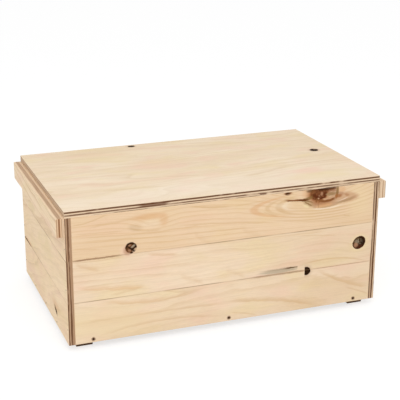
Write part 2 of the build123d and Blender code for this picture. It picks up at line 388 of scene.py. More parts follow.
@node_group("knot", "Board", "Inside", "Grit")
def knot_paint(board: COLOUR, distance, along, across, bark: COLOUR, heart: COLOUR, dark, stain):
    """A knot laid into a board: dark bark at its rim, ringed heartwood inside, a faint stain round it."""
    grit = lumps(along * 330, across * 330, 2, 4, 0.65)
    ring = (distance * 2.6 + grit * 1.8).math("FRACT")
    dark = ring.rise(0.35, 0.95) * 0.5 + distance.rise(0.62, 0.92) + grit.rise(0.45, 0.7) * 0.5 + dark
    inside = distance.fall(0.92, 1.06)
    stained = tint(board.tree, distance.fall(0.95, 1.9) * stain, board, heart)
    fill = tint(board.tree, dark.math("MINIMUM", 1), heart, bark)
    return tint(board.tree, inside, stained, fill), inside, grit


@node_group("plies", "Sawn", "Brown", "Dark", "Pores")
def sawn_plies(
    depth, end, along, across, seed, long_brown, end_brown, end_dark,
    line_1, dark_1, line_2, dark_2, line_3, dark_3,
):
    """The sawn edge of a board: where the sheet is cut, its brown plies, its dark lines and its pores."""
    run = lumps(along * 14, across * 14, seed)
    level = depth + (run - 0.5) * (end * 0.26 + 0.08)
    uneven = lumps(along * 30, across * 30, level * 5 + seed, 3, 0.6)
    dark = level * 0
    cross = level * 0
    lines = ((line_1, dark_1), (line_2, dark_2), (line_3, dark_3))
    for number, (line, share) in enumerate(lines, 1):
        below = level - line
        patchy = lumps(along * 19, across * 19, seed + number * 5, 3, 0.6)
        cover = (patchy - 0.66 + share * 0.5).rise(0, 0.22) * (share * 0.65 + 0.35)
        reach = share * 0.06 + 0.03
        dark = dark.math("MAXIMUM", below.math("ABSOLUTE").fall(reach, reach * 1.9) * cover)
        cross = cross + below.rise(-0.02, 0.02) * below.fall(0.14, 0.22)
    long_brown = cross * long_brown
    end_brown = (1 - cross * 0.5) * end_brown
    brown = long_brown + (end_brown - long_brown) * end
    dark = dark * (1 - end * (1 - end_dark))
    pores = lumps(along * 900, across * 900, level * 16, 2, 0.6)
    sawn = depth.band(0.035, 0.965, 0.02)
    return sawn, brown * (0.35 + uneven * 1.3), dark, pores


# Boards. Each has the way that its grain runs, the way across it, and the way out of its face.

AXES = "XYZ"
BOARDS = {
    "front_panel": ("+X", "+Z", "-Y"),
    "back_panel": ("-X", "+Z", "+Y"),
    "left_end_panel": ("-Y", "+Z", "-X"),
    "right_end_panel": ("+Y", "+Z", "+X"),
    "left_handle_cleat": ("-Y", "+Z", "-X"),
    "right_handle_cleat": ("+Y", "+Z", "+X"),
    "lid_panel": ("+X", "+Y", "+Z"),
    "bottom_panel": ("+X", "+Y", "+Z"),
    "left_base_runner": ("+Y", "+X", "-Z"),
    "right_base_runner": ("+Y", "+X", "-Z"),
    "lid_left_batten": ("+Y", "+X", "-Z"),
    "lid_right_batten": ("+Y", "+X", "-Z"),
}

# How brown a board's sawn edge is along the grain and across it, how dark its lines are across the
# grain, and then the depth and the darkness of its three lines, all as shares
PLAIN_EDGE = (0.45, 0.8, 1, 0.2, 0.75, 0.6, 0.5, 0.9, 0.25)
EDGES = {
    # On the lid the first two dark lines are dark plies, and the third, near its underside, is painted shade
    # of the gap between the lid and the walls
    "lid_panel": (0.5, 0.45, 0.35, 0.19, 0.9, 0.61, 0.74, 0.95, 0.6),
    "left_end_panel": (0.45, 1.7, 1, 0.1, 0.75, 0.5, 0.8, 0.3, 0.1),
    "right_end_panel": (0.45, 0.65, 1, 0.42, 1, 0.82, 0.7, 0.09, 0.45),
    "left_handle_cleat": (0.62, 0.35, 1, 0.22, 0, 0.38, 0.05, 0.54, 0),
    "right_handle_cleat": (0.45, 0.3, 1, 0.22, 0.1, 0.45, 0.1, 0.86, 0.1),
}

# The plies that stand out on the ends of a cleat or a runner, and the painted shadow at the foot of a
# runner's end: where each starts and stops as a share of the depth, its colour and how strong it is
END_PLIES = {
    "left_handle_cleat": [
        (0, 0.76, "resin", 0.35),
        (0.07, 0.13, "core", 0.6),
        (0.29, 0.52, "heart", 0.85),
        (0.67, 0.75, "heart", 0.5),
    ],
    "right_handle_cleat": [
        (0, 0.07, "streak", 0.6),
        (0.36, 0.47, "heart", 0.75),
        (0.9, 1, "heart", 0.8),
    ],
    # At the foot of each runner's end the bark band is partly a dark ply and partly painted shadow where the
    # runner stands on the floor; above it are pale plies
    "left_base_runner": [(0, 0.26, "bark", 0.55), (0.34, 1, "ply_pale", 0.9)],
    "right_base_runner": [(0, 0.3, "bark", 0.5), (0.4, 1, "ply_pale", 0.8)],
}

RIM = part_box("front_panel")[1].z
WALL_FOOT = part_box("front_panel")[0].z
VENEER_STRIPS = 3
STRIP = (RIM - WALL_FOOT) / VENEER_STRIPS
SEAMS = [WALL_FOOT + STRIP * (i + 1) for i in range(VENEER_STRIPS - 1)]

# Where the outer veneer ends and the middle of the sheet lies, as shares of the depth, and from
# where to where the grain of a board turns to end grain before its end
VENEER_FOOT = (0.16, 0.2)
SHEET_MIDDLE = (0.45, 0.55)
END_GRAIN = (0.9 * MM, 0.4 * MM)


class BoardPaint:
    """A board's material while it is made: where a point lies on the board, and the colour so far. A
    colour of the wood is given by its name."""

    def __init__(self, wood, node, seed, lean=0):
        self.wood = wood
        self.node = node
        self.material = bpy.data.materials.new(node + "_plywood")
        self.tree = clear_tree(self.material)
        split = add_node(self.tree, "SeparateXYZ", object_place(self.tree)).socket.node
        low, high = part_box(node)
        grain, cross, out = BOARDS[node]

        def axis(name):
            wire = Wire(self.tree, split.outputs[AXES.index(name[1])])
            return wire if name[0] == "+" else wire * -1

        self.along = axis(grain)
        self.across = axis(cross)
        index = AXES.index(out[1])
        face = high[index] if out[0] == "+" else -low[index]
        self.depth = (face - axis(out)) / (high[index] - low[index])
        length = high[AXES.index(grain[1])]
        self.end = self.along.math("ABSOLUTE").rise(*[length - skin for skin in END_GRAIN])
        inner = self.depth.rise(*SHEET_MIDDLE)
        self.outer = self.depth.fall(*SHEET_MIDDLE)
        self.veneer = self.depth.fall(*VENEER_FOOT)
        self.seed = inner * 17 + seed
        self.leaned = self.across - self.along * lean
        self.field = self.outer * 0
        self.ragged = [self.along, self.across]

    def roughen(self, lump, reach):
        """Gives what is drawn from here on a ragged outline, with lumps and a reach in mm."""
        self.ragged = ragged_place(*self.ragged, lump * MM, reach * MM)

    def fray(self, fibre):
        """Frays what is drawn from here on along the fibres of the wood."""
        shift = (fibre - 0.5) * 0.7 * MM
        self.ragged = [self.along + shift * 4, self.across + shift]
        self.waver = lumps(self.along * 40, self.across * 60, 6) - 0.5

    def oval(self, x, y, length, height, turn=0):
        """Distance from an oval's middle, where the oval is given by its place and whole size in mm."""
        shape = (x * MM, y * MM, length / 2 * MM, height / 2 * MM, math.radians(turn))
        return oval_distance(*self.ragged, *shape)

    def spot(self, above, x, y, length, height, share, turn=0, soft=0.5):
        """Draws an oval patch with a soft rim, given in mm."""
        mask = self.oval(x, y, length, height, turn).fall(1 - soft, 1 + soft)
        self.tint(mask * self.veneer * share, above)

    def hook(self, above, x, y, length, height, stop, width, share):
        """Draws the left part of an oval's outline up to a stop, given in mm, with its width as a share."""
        line = (self.oval(x, y, length, height) - 1).math("ABSOLUTE").fall(width * 0.3, width)
        self.tint(line * self.along.fall((stop - 50) * MM, stop * MM) * self.veneer * share, above)

    def stroke(self, above, x, y, end_x, end_y, bow, width, share, soft=False):
        """Draws a growth line, or a vein where both its sides are soft, given in mm."""
        shape = [size * MM for size in (x, y, end_x, end_y, bow, width)]
        growth, vein = line_masks(*self.ragged, self.waver, *shape)
        self.tint((vein if soft else growth) * self.veneer * share, above)

    def vein(self, above, *shape):
        """Draws a line with two soft sides, given in mm."""
        self.stroke(above, *shape, soft=True)

    def draw(self, marks):
        """Draws a list of marks, each with its kind, its colour and what that kind needs."""
        for kind, above, *shape in marks:
            getattr(self, kind)(above, *shape)

    def swell(self, x, y, length, height, rings):
        """Adds closed growth lines round a point."""
        bump = growth_swell(self.oval(x, y, length, height), rings)
        self.field = self.field + bump * self.outer

    def tint(self, share, above, way="MIX"):
        """Lays a colour over the paint so far."""
        above = getattr(self.wood, above) if isinstance(above, str) else above
        self.colour = tint(self.tree, share, self.colour, above, way)

    def lay_veneer(self, kind, rings, slope, strength):
        """Lays the face veneer of a kind of board with its growth lines, broad tone and fibre."""
        place = (self.along, self.leaned, self.seed, self.field)
        line, tone, hue, fibre = veneer_figure(*place, rings, slope)
        pale, tan = (getattr(self.wood, kind + part) for part in ("_pale", "_tan"))
        self.colour = tint(self.tree, tone, pale, tan)
        self.tint(hue.rise(0.5, 0.72) * 0.5, "blush")
        self.tint(hue.fall(0.28, 0.5) * 0.5, "sap")
        self.tint(line * strength, kind + "_line")
        shade = fibre.rise(0.28, 0.72) * 0.11 + 0.935
        self.tint(1, add_node(self.tree, "CombineColor", shade, shade, shade), "MULTIPLY")
        self.height = fibre * 0.6 + line * 0.4
        self.roughness = fibre * 0.16 + 0.5
        self.fray(fibre)

    def shift_strips(self):
        """Gives each veneer strip of a wall another part of the tree."""
        self.strip = ((self.across - WALL_FOOT) / STRIP).math("FLOOR") * self.outer
        self.seed = self.seed + self.strip * 3.7

    def saw_edges(self):
        """Shows the plies wherever the board is sawn."""
        place = (self.depth, self.end, self.along, self.across, self.seed)
        sawn, brown, dark, pores = sawn_plies(*place, *EDGES.get(self.node, PLAIN_EDGE))
        sheet = tint(self.tree, brown.math("MINIMUM", 1), self.wood.ply_pale, self.wood.ply_brown)
        sheet = tint(self.tree, dark, sheet, self.wood.ply_dark)
        self.tint(sawn, sheet)
        self.height = self.height + sawn * pores * 1.2

    def mark_seams(self, share):
        """Darkens the seams between the veneer strips unevenly along their run."""
        uneven = lumps(self.along * 8, self.across * 40, 3, 2, 0.6)
        for level in SEAMS:
            near = (self.across - level).math("ABSOLUTE").fall(0.45 * MM, 1.4 * MM)
            self.tint(near * self.outer * (uneven.rise(0.36, 0.6) * 0.75 + 0.25) * share, "seam")

    def place_knot(self, x, y, length, height, dark, stain=0.25, turn=0):
        """Paints a knot, or a hole whose dark fill is painted shade, on the outer face."""
        self.paint_knot(self.oval(x, y, length, height, turn), dark, stain)

    def paint_knot(self, distance, dark, stain):
        """Lays a knot over the paint so far, by the distance from its middle."""
        distance = distance + (1 - self.veneer) * 9
        place = (distance, self.along, self.across)
        self.colour, inside, grit = knot_paint(
            self.colour, *place, self.wood.bark, self.wood.heart, dark, stain
        )
        self.height = self.height - inside * grit

    def close(self):
        """Joins the paint to the surface and gives back the material."""
        look = {"Base_Color": self.colour, "Roughness": self.roughness, "Specular_IOR_Level": WOOD_GLOSS}
        show_bumped(self.tree, self.height, *WOOD_BUMP, **look)
        return self.material

    def finish(self):
        """Puts the finished paint on the board."""
        dress(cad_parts[self.node], self.close())


def dress(piece, material):
    """Puts one material on a piece."""
    if not piece.material_slots:
        piece.data.materials.append(material)
    for place in piece.material_slots:
        place.material = material


# The figure of each face, in mm along the grain and across it, on the box's own axes

# The knots' middles, where a crack cuts off a hole, and the lumps and the reach of ragged outlines
RIM_KNOT = (184, 243)
LEFT_KNOT = (-184.2, 179.8)
RIGHT_KNOT = (263, 131)
CRACK = 151
FRONT_ROUGH = (5, 2.4)

# Growth lines of the front that are plain from a step away: the start, the end, the bow, the width
# and the share of the line's colour
FRONT_STROKES = [
    (-292, 232, -220, 248, -4, 3, 0.6),
    (-268, 223, -140, 233, 2, 5, 0.45),
    (-292, 216, -190, 212, 0, 2.5, 0.5),
    (-292, 210, -90, 200, -1, 2.5, 0.55),
    (-290, 199, -115, 192, 1, 2.5, 0.4),
    (-290, 190, -240, 184, 0, 3, 0.4),
    (-190, 217, -126, 207, -5, 4, 0.5),
    (-164, 226, -128, 218, -6, 3, 0.4),
    (-80, 243, 8, 233, -2, 4.5, 0.75),
    (-4, 234, 80, 240, -3, 3, 0.4),
    (-104, 210, 96, 191, 2, 3.5, 0.6),
    (-112, 192, 44, 188, 1, 3, 0.5),
    (-70, 190, -34, 170, -3, 11, 0.22),
    (62, 216, 96, 203, -1, 4, 0.45),
    (20, 190, 62, 173, -3, 11, 0.2),
    (-290, 165, -190, 166, -2, 2, 0.45),
    (-286, 162, -240, 146, -2, 8, 0.5),
    (-276, 118, -174, 117.5, 0, 2, 0.4),
    (-224, 97, -160, 105, -2, 6, 0.35),
    (-156, 164, -96, 155, -1, 5, 0.5),
    (-96, 113, -46, 90, 2, 10, 0.26),
    (-10, 113, 34, 91, 2, 10, 0.22),
    (136, 100, 286, 90, 11, 3, 0.6),
    (130, 160, 222, 150, 1, 2.5, 0.45),
    (66, 164, 200, 161, 1, 2.5, 0.4),
    (-240, 86, -36, 88, -14, 7, 0.4),
    (-292, 50, 10, 47, 3, 5, 0.45),
    (-252, 20, -10, 22, 13, 5, 0.45),
    (-10, 49, 186, 14, 8, 8, 0.55),
    (0, 27, 60, 13, 2, 3, 0.4),
    (176, 87, 292, 38, -7, 8, 0.55),
    (236, 44, 292, 20, 1, 4, 0.45),
    (84, 220, 290, 217, -14, 3, 0.55),
    (78, 214, 290, 212, -14, 2.6, 0.5),
    (70, 208, 291, 206, -13, 2.6, 0.55),
    (64, 201, 291, 200, -12, 3, 0.45),
    (110, 192, 291, 194, -9, 2.6, 0.4),
    (226, 189.8, 242, 187.4, 0, 1.8, 0.8),
]


def lay_front_wood(wood):
    """Starts the front with its bare wood, whose rings close round the knots."""
    board = BoardPaint(wood, "front_panel", 2)
    board.shift_strips()
    board.swell(*RIM_KNOT, 230, 84, 4.5)
    board.swell(-146, 222, 74, 30, 1.6)
    board.swell(*RIGHT_KNOT, 90, 50, 1)
    board.swell(-140, 79, 200, 16, 0.6)
    slope = board.strip * 42 + 20
    top = board.strip.rise(1.2, 1.8)
    strength = top * 0.3 + board.oval(*RIM_KNOT, 260, 110).fall(0.7, 1.2) * 0.4 + 0.34
    board.lay_veneer("wall", 4.5, slope, strength)
    board.tint(top * 0.45, "wall_gold")
    board.spot("wall_line", 240, 90, 280, 180, 0.15)
    for stroke in FRONT_STROKES:
        board.stroke("wall_line", *stroke)
    board.draw(FRONT_GLOW)
    return board


def finish_front(wood):
    board = lay_front_wood(wood)
    board.saw_edges()
    board.roughen(*FRONT_ROUGH)
    for paint in (paint_rim_knot, paint_left_knot, paint_right_knot, paint_cracked_hole, paint_streak):
        paint(board)
    board.mark_seams(0.65)
    board.draw(SEAM_STAINS)
    for x in (-256, 0, 256):
        board.spot("core", x, 18, 7, 7, 0.8, soft=0.4)
    board.finish()


# Marks on a face in mm, drawn one over the other: the kind, the colour, and then for a spot its
# middle, length, height and share, with its turn and softness where they aren't 0 and 0.5, for a
# stroke or a vein its start, end, bow, width and share, and for a hook its oval's middle, length and
# height, its stop, width and share

# Warm growth lines, the hooks that close the rings at the left of the rim knot, and an orange lens
# with a pale middle at the upper left
FRONT_GLOW = [
    ("stroke", "resin", -292, 119, -156, 104, -3, 9, 0.36),
    ("stroke", "resin", -236, 84, -120, 76, -4, 8, 0.24),
    ("spot", "blush", -215, 150, 170, 28, 0.15),
    ("spot", "sap", -235, 48, 170, 62, 0.4, 0, 0.6),
    ("spot", "wall_line", 250, 150, 200, 50, 0.12, 0, 0.6),
    ("hook", "resin", 184, 221, 276, 46, 130, 0.09, 0.5),
    ("hook", "wall_line", 184, 221, 224, 44, 120, 0.06, 0.5),
    ("hook", "wall_line", 184, 221, 180, 42, 150, 0.1, 0.65),
    ("hook", "lid_pale", 184, 221, 156, 30, 150, 0.08, 0.35),
    ("spot", "resin", -150, 233, 58, 11, 0.5),
    ("spot", "resin", -124, 224, 15, 22, 0.35),
    ("spot", "moss", -176, 215, 24, 12, 0.22, -10),
    ("spot", "lid_pale", -147, 219.5, 34, 15, 0.28),
]

# The lid's pale front, with its plainest growth lines and its pink and green patches
LID_MARKS = [
    ("spot", "lid_white", -40, -150, 600, 110, 0.32, 0, 0.6),
    ("stroke", "lid_line", 56, -102, 170, -64, -3, 12, 0.45),
    ("stroke", "lid_line", 150, -66, 292, -60, 3, 8, 0.45),
    ("stroke", "lid_line", -220, -98, -90, -106, 2, 9, 0.4),
    ("stroke", "lid_line", -80, -52, -10, -68, 1, 7, 0.45),
    ("spot", "blush", 188, -108, 60, 34, 0.5),
    ("spot", "blush", 12, -72, 40, 28, 0.35),
    ("spot", "blush", -70, 30, 90, 70, 0.3, 0, 0.6),
    ("spot", "sap", 190, -142, 110, 36, 0.35, 0, 0.6),
    ("spot", "sap", -150, 110, 140, 60, 0.25, 0, 0.6),
]

# The knots that show in the sawn front edge of the lid: where each starts and stops in mm, how soft
# its ends are, and its top and foot as shares of the depth
LID_EDGE_KNOTS = [
    (-168, -116, 8, 0.14, 0.6),
    (-262, -252, 3, 0.46, 0.56),
    (57, 70, 2, 0.64, 0.9),
]

SEAM_STAINS = [
    ("vein", "heart", -296, 168.6, -194, 168.6, 0, 3.6, 0.6),
    ("vein", "heart", 36, 90.3, 156, 90.3, 0, 4.4, 0.45),
    ("vein", "flesh", 160, 90.3, 286, 90.3, 0, 2, 0.45),
]

# The wood round the rim knot: blush to its left, an amber bowl below it, an olive lens at the lower
# left and a lobe at the right with a dark lower edge
RIM_KNOT_WOOD = [
    ("spot", "blush", 142, 239.5, 30, 14, 0.25),
    ("spot", "lid_pale", 104, 223, 34, 10, 0.3, -4, 0.6),
    ("spot", "sap", 258, 214, 46, 62, 0.35, 0, 0.6),
    ("spot", "resin", 221, 241, 17, 11, 0.5, 0, 0.4),
    ("spot", "amber", 184, 219, 56, 20, 0.7, 0, 0.3),
    ("spot", "resin", 187, 214, 32, 8, 0.75, 3, 0.4),
    ("spot", "flesh", 167, 217, 9, 12, 0.4),
    ("spot", "heart", 174.4, 215.5, 3.2, 11, 0.3),
    ("vein", "moss", 174, 211, 216, 214, -1.5, 2.4, 0.5),
    ("vein", "lid_pale", 160, 210.5, 226, 212.5, -4, 2.6, 0.6),
    ("spot", "moss", 154, 221.5, 23, 11, 0.6, -28, 0.35),
    ("vein", "olive", 145, 226.5, 163, 216, -1, 3, 0.75),
    ("vein", "olive", 149, 227, 165, 221, 0, 2, 0.55),
    ("spot", "sap", 149.5, 216.5, 13, 5, 0.8, -20, 0.45),
    ("spot", "amber", 229, 226, 54, 19, 0.75, -5, 0.3),
    ("vein", "lid_pale", 211, 217.8, 236, 225, -0.6, 2.2, 0.5),
    ("vein", "flesh", 196, 214.6, 258, 226, -2.2, 6.6, 0.55),
    ("vein", "moss", 208, 215.4, 250, 223.8, -1.2, 4, 0.7),
    ("spot", "flesh", 218, 233.5, 17, 7, 0.65, -12),
    ("spot", "copper", 215.5, 229, 13, 6.6, 0.8, 0, 0.45),
    ("spot", "copper", 232.5, 229.5, 10, 4.6, 0.5, -15),
    ("spot", "resin", 153, 240, 22, 18, 0.5),
    ("spot", "copper", 174, 237, 45, 34, 0.9, 0, 0.28),
    ("spot", "copper", 187, 221, 42, 11, 0.6, 5),
]

# The rim knot itself, over its rough core: dark and light pieces, a grey swirl at the right between
# two arcs, and a line that runs up to the rim
RIM_KNOT_GRAIN = [
    ("spot", "core", 165.5, 235, 8, 6.4, 0.9),
    ("spot", "core", 187.5, 235, 8.4, 9, 0.95, 0, 0.4),
    ("spot", "core", 171.5, 231.5, 9, 5, 0.9, -20, 0.4),
    ("spot", "core", 182, 229, 13, 4, 0.85, 5, 0.4),
    ("spot", "flesh", 180.5, 237, 5, 7, 0.75),
    ("spot", "flesh", 175.5, 233.5, 3.6, 3.4, 0.45),
    ("spot", "amber", 174, 228.4, 3.6, 2.6, 0.8),
    ("spot", "heart", 170, 224.5, 4.4, 6.4, 0.85),
    ("spot", "heart", 176.3, 223, 4, 5.6, 0.8),
    ("spot", "flesh", 205, 241, 10, 5.6, 0.75),
    # The two bark spots along the rim are partly the knot's dark wood and partly painted shade of the gap
    # under the lid
    ("spot", "bark", 190, 245.6, 38, 6, 0.7, 0, 0.35),
    ("spot", "flesh", 197, 241.2, 7, 3, 0.7),
    ("spot", "bark", 157, 245, 16, 5.4, 0.6),
    ("spot", "heart", 163, 242, 9, 8, 0.6),
    ("spot", "moss", 199.5, 234.6, 20, 6.6, 0.95, 0, 0.3),
    ("spot", "heart", 201, 238, 22, 15, 0.4),
    ("vein", "amber", 181, 225.6, 209, 231, -1.4, 4.4, 0.95),
    ("vein", "heart", 172, 226, 212, 227.5, -4.8, 5, 1),
    ("spot", "olive", 212.3, 239, 5.4, 24, 0.85, -4, 0.45),
    ("spot", "copper", 210.5, 229, 5.6, 9, 0.85),
    ("vein", "heart", 104, 232.4, 157, 227.6, -0.4, 4, 0.95),
    ("vein", "olive", 139, 228, 164, 233.6, -0.6, 6, 0.85),
    ("spot", "core", 143, 229, 20, 4, 0.8, -3),
    ("vein", "olive", 147, 225.6, 162, 224, 0, 2, 0.6),
]

# The small knot that the rim cuts through
RIM_LENS = [
    ("spot", "amber", 112, 245.2, 18, 6.6, 0.75),
    ("spot", "heart", 112, 245, 13.4, 5.6, 0.9, 0, 0.4),
    ("spot", "bark", 111.5, 244.8, 9, 4.2, 0.75),
]


def paint_rim_knot(board):
    """The big knot at the rim, with a tail to the left, and the small one beside it."""
    board.draw(RIM_KNOT_WOOD)
    paint_core(board)
    board.draw(RIM_KNOT_GRAIN)
    board.draw(RIM_LENS)


def paint_core(board):
    """The rough core, with light and dark specks."""
    core = board.oval(174.5, 237.5, 36, 26)
    core = core.math("MINIMUM", board.oval(190, 245, 42, 11))
    inside = core.fall(0.8, 1.12) * board.veneer
    grit = lumps(board.along * 420, board.across * 420, 5, 3, 0.65)
    board.tint(inside * 0.85, "core")
    board.tint(inside * grit.rise(0.5, 0.64) * 0.55, "copper")
    board.tint(inside * grit.fall(0.34, 0.48) * 0.3, "bark")


def paint_left_knot(board):
    """A knot that is split open: a dark ring, broken at the lower right, round two lighter pieces."""
    x, z = LEFT_KNOT
    ring = board.oval(x, z + 0.4, 21, 20)
    sound = board.oval(x + 10.5, z - 7, 17, 13).rise(0.85, 1.1) * board.veneer
    upper = board.ragged[1].rise((z - 6) * MM, (z + 3) * MM)
    board.spot("blush", x - 6, z - 5, 24, 20, 0.6)
    board.spot("flesh", x - 6, z - 4, 15, 17, 0.7)
    board.tint(ring.fall(0.9, 1.06) * sound * 0.95, "heart")
    board.spot("bark", x - 0.5, z + 1, 16, 17, 0.45, soft=0.4)
    board.tint(ring.band(0.62, 0.96, 0.1) * upper * sound * 0.9, "bark")
    board.stroke("bark", x - 7, z + 2.4, x + 8, z - 8, 0, 6, 1)
    board.vein("bark", x + 0.5, z - 4, x + 11, z + 2, 0, 4, 0.9)
    board.spot("bark", x + 1, z - 9, 6, 3, 0.9, 20, 0.4)
    board.spot("ash", x + 3.8, z + 2.6, 8.4, 3.6, 0.8, 33, 0.4)
    board.spot("flesh", x - 2.6, z + 4.6, 5, 3.4, 0.6, 20)
    board.spot("flesh", x - 2.8, z - 4.6, 5, 4.4, 0.75, -40)


def paint_right_knot(board):
    """A round knot, black at its right and below, grey in the middle and pinkish at the lower left."""
    x, z = RIGHT_KNOT
    disc = board.oval(x, z, 28, 24.4, 35)
    inside = disc.fall(0.94, 1.04) * board.veneer
    grit = lumps(board.along * 380, board.across * 380, 15, 3, 0.65)
    board.tint(disc.fall(1, 1.7) * board.veneer * 0.5, "sap")
    middle = board.oval(x + 1, z + 2, 15, 13).fall(0.7, 1.1)
    board.tint(inside, "streak")
    board.tint(board.oval(x - 4, z + 3, 25, 22).rise(0.5, 0.8) * inside * 0.95, "bark")
    board.spot("core", x + 1, z - 8, 16, 7, 0.8, 10, 0.4)
    board.spot("bark", x + 2.5, z + 1.5, 15, 13, 0.5, soft=0.4)
    board.tint(middle * grit.rise(0.5, 0.62) * inside * 0.6, "ash")
    board.tint(grit.fall(0.42, 0.52) * inside * 0.75, "bark")
    board.spot("ash", x - 5, z + 2, 7, 8, 0.45, 30, 0.6)
    board.spot("flesh", x - 6.6, z - 4.6, 9, 9, 0.85, 30)
    board.tint(disc.band(0.88, 1, 0.06) * board.veneer * 0.7, "core")


def paint_cracked_hole(board):
    """An open hole, cut off square at its left by a crack. Its dark fill is painted shade that stands in for
    the depth of the hole.
    """
    hole = board.oval(154.6, 88.3, 16.6, 16.8)
    left_of_crack = (board.along * -1 + CRACK * MM) / MM + 1
    board.paint_knot(hole.math("MAXIMUM", left_of_crack), 1, 0.2)
    board.spot("amber", 145, 89.5, 12, 3, 0.6)


def paint_streak(board):
    """The grey streak over the lower seam, darkest along its top and cut off sharply at its right end."""
    stop = board.along.fall(135 * MM, 137.5 * MM) * board.veneer
    body = board.oval(99, 96, 94, 9).fall(0.5, 1.1)
    line = board.oval(102, 99.6, 104, 4.8).fall(0.45, 1)
    board.tint(body * stop * 0.7, "ash")
    board.tint(line * stop * (board.along.rise(103 * MM, 122 * MM) * 0.7 + 0.3), "streak")


def lay_wall(wood, node, seed, lean, slope, strength):
    """Starts a wall in the wood of the ends, with its sawn edges and its seams."""
    board = BoardPaint(wood, node, seed, lean)
    board.shift_strips()
    board.lay_veneer("end", 6, slope, strength)
    board.saw_edges()
    board.mark_seams(0.6)
    return board


def finish_left_end(wood):
    board = lay_wall(wood, "left_end_panel", 31, 0.22, 32, 0.42)
    board.roughen(5, 1.2)
    board.spot("resin", 92, 50, 54, 18, 0.35, soft=0.6)
    board.vein("olive", 75, 46.5, 98, 34.6, 0, 9, 0.85)
    board.place_knot(89, 39.2, 15, 7.4, 0.6, 0.2, -29)
    board.vein("heart", -184, 90, -112, 89.4, 0, 3.4, 0.85)
    board.place_knot(-160, 90, 50, 2.8, 0.6, 0.3)
    board.spot("resin", -140, 93.5, 60, 6, 0.4)
    board.finish()


def finish_lid(wood):
    board = BoardPaint(wood, "lid_panel", 53)
    board.lay_veneer("lid", 7, 45, 0.42)
    board.draw(LID_MARKS)
    board.saw_edges()
    front_edge = board.across.fall(-181.7 * MM, -181.3 * MM)
    for start, stop, soft, top, foot in LID_EDGE_KNOTS:
        knot = board.along.band(start * MM, stop * MM, soft * MM) * board.depth.band(top, foot, 0.08)
        board.tint(knot * front_edge * 0.75, "core")
    board.roughen(5, 2)
    # The two holes in the lid are painted dark, as painted shade of their depth, with a faint stain round
    # them
    board.place_knot(262.5, 18, 17.2, 16.7, 1)
    board.place_knot(-75, 170.5, 14.7, 11.7, 1)
    board.finish()


def finish_plain_board(wood, node, seed):
    board = BoardPaint(wood, node, seed)
    board.lay_veneer("end", 5, 60, 0.7)
    board.saw_edges()
    # The ends of the cleats and runners get their plies here, and each runner's end also its painted shadow
    # at the foot
    for start, stop, above, share in END_PLIES.get(node, ()):
        board.tint(board.depth.band(start, stop, 0.03) * board.end * share, above)
    board.finish()


# Loose knots. Each is a rough disc that lies in its pocket in the front panel.

FRONT_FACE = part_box("front_panel")[0].y
POCKET_DEPTH = 1.2 * MM

# The mesh of a knot, the waves and the wobble of its rings, its grit, and its cracks, all with the
# radius of the knot as 1 and the heights as shares of its relief
KNOT_RINGS = 14
KNOT_POINTS = 96
RING_WAVES = 21
RING_WOBBLE = 5
GRIT_LUMPS = 7
CRACK_WIDTH = 0.55
CRACK_DEPTH = 1.2


def make_knot(name, settings, x, z, length, height, turn, cracks, seed):
    """Makes a knot as rings of points about its middle, raised and split by noise."""
    mesh = bmesh.new()
    bmesh.ops.create_circle(mesh, cap_ends=True, segments=KNOT_POINTS, radius=1)
    middle = next(iter(mesh.faces))
    for ring in range(KNOT_RINGS - 1):
        bmesh.ops.inset_region(mesh, faces=[middle], thickness=1 / KNOT_RINGS)
    bmesh.ops.poke(mesh, faces=[middle])
    rim = [edge for edge in mesh.edges if edge.is_boundary]
    sides = bmesh.ops.extrude_edge_only(mesh, edges=rim)["geom"]
    foot = {part for part in sides if isinstance(part, bmesh.types.BMVert)}
    bmesh.ops.translate(mesh, verts=list(foot), vec=(0, 0, -1))
    bmesh.ops.contextual_create(mesh, geom=[edge for edge in mesh.edges if edge.is_boundary])
    bmesh.ops.recalc_face_normals(mesh, faces=mesh.faces)
    deep = (POCKET_DEPTH - settings.sink) / MM
    for vert in mesh.verts:
        if vert in foot:
            vert.co.z = -deep
            continue
        reach = vert.co.xy.length
        angle = math.atan2(vert.co.y, vert.co.x)
        wobble = noise.noise(vert.co * 2.5 + Vector((0, 0, seed))) * RING_WOBBLE
        rings = math.sin(reach * RING_WAVES + wobble)
        grit = noise.fractal(vert.co * GRIT_LUMPS + Vector((0, seed, 0)), 0.6, 2, 4)
        from_crack = max(abs(math.sin(angle * cracks / 2 + seed)) * 9 * reach, 1.4 - reach)
        split = CRACK_DEPTH if from_crack < CRACK_WIDTH + grit else 0
        dome = 0.25 - 0.45 * reach**4
        vert.co.z = (dome + 0.5 * rings + 0.6 * grit - split) * settings.relief / MM
        vert.co.z = min(max(vert.co.z, -deep * 0.7), settings.sink / MM * 0.9)
    size = Matrix.Diagonal((length / 2 * MM, height / 2 * MM, MM, 1))
    stand = Matrix.Rotation(math.radians(90), 4, "X")
    place = Matrix.Translation((x * MM, FRONT_FACE + settings.sink, z * MM))
    spin = Matrix.Rotation(math.radians(turn), 4, "Z")
    piece = add_object(name, mesh, place @ stand @ spin @ size)
    for face in piece.data.polygons:
        face.use_smooth = True
    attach(piece, "box")
    return piece


def knot_material(name, wood, paint):
    """The front's own wood with the knot painted on it, so that the picture runs on past the knot's rim."""
    board = lay_front_wood(wood)
    board.material.name = name
    board.roughen(*FRONT_ROUGH)
    paint(board)
    return board.close()


# Metal


def metal_material(name, bright, dull, metallic, roughness, grain):
    """Steel with a mottled surface."""
    material = bpy.data.materials.new(name)
    tree = clear_tree(material)
    scale = {"Scale": grain}
    place = add_node(tree, "VectorMath", object_place(tree), named=scale, operation="SCALE")
    mottle = cloud(tree, place, 4, 0.6)
    colour = tint(tree, mottle.rise(0.35, 0.65), bright, dull)
    look = {"Base_Color": colour, "Roughness": mottle * 0.3 + roughness, "Metallic": metallic}
    show_bumped(tree, mottle, *METAL_BUMP, **look, Specular_IOR_Level=METAL_GLOSS)
    return material


# Operators


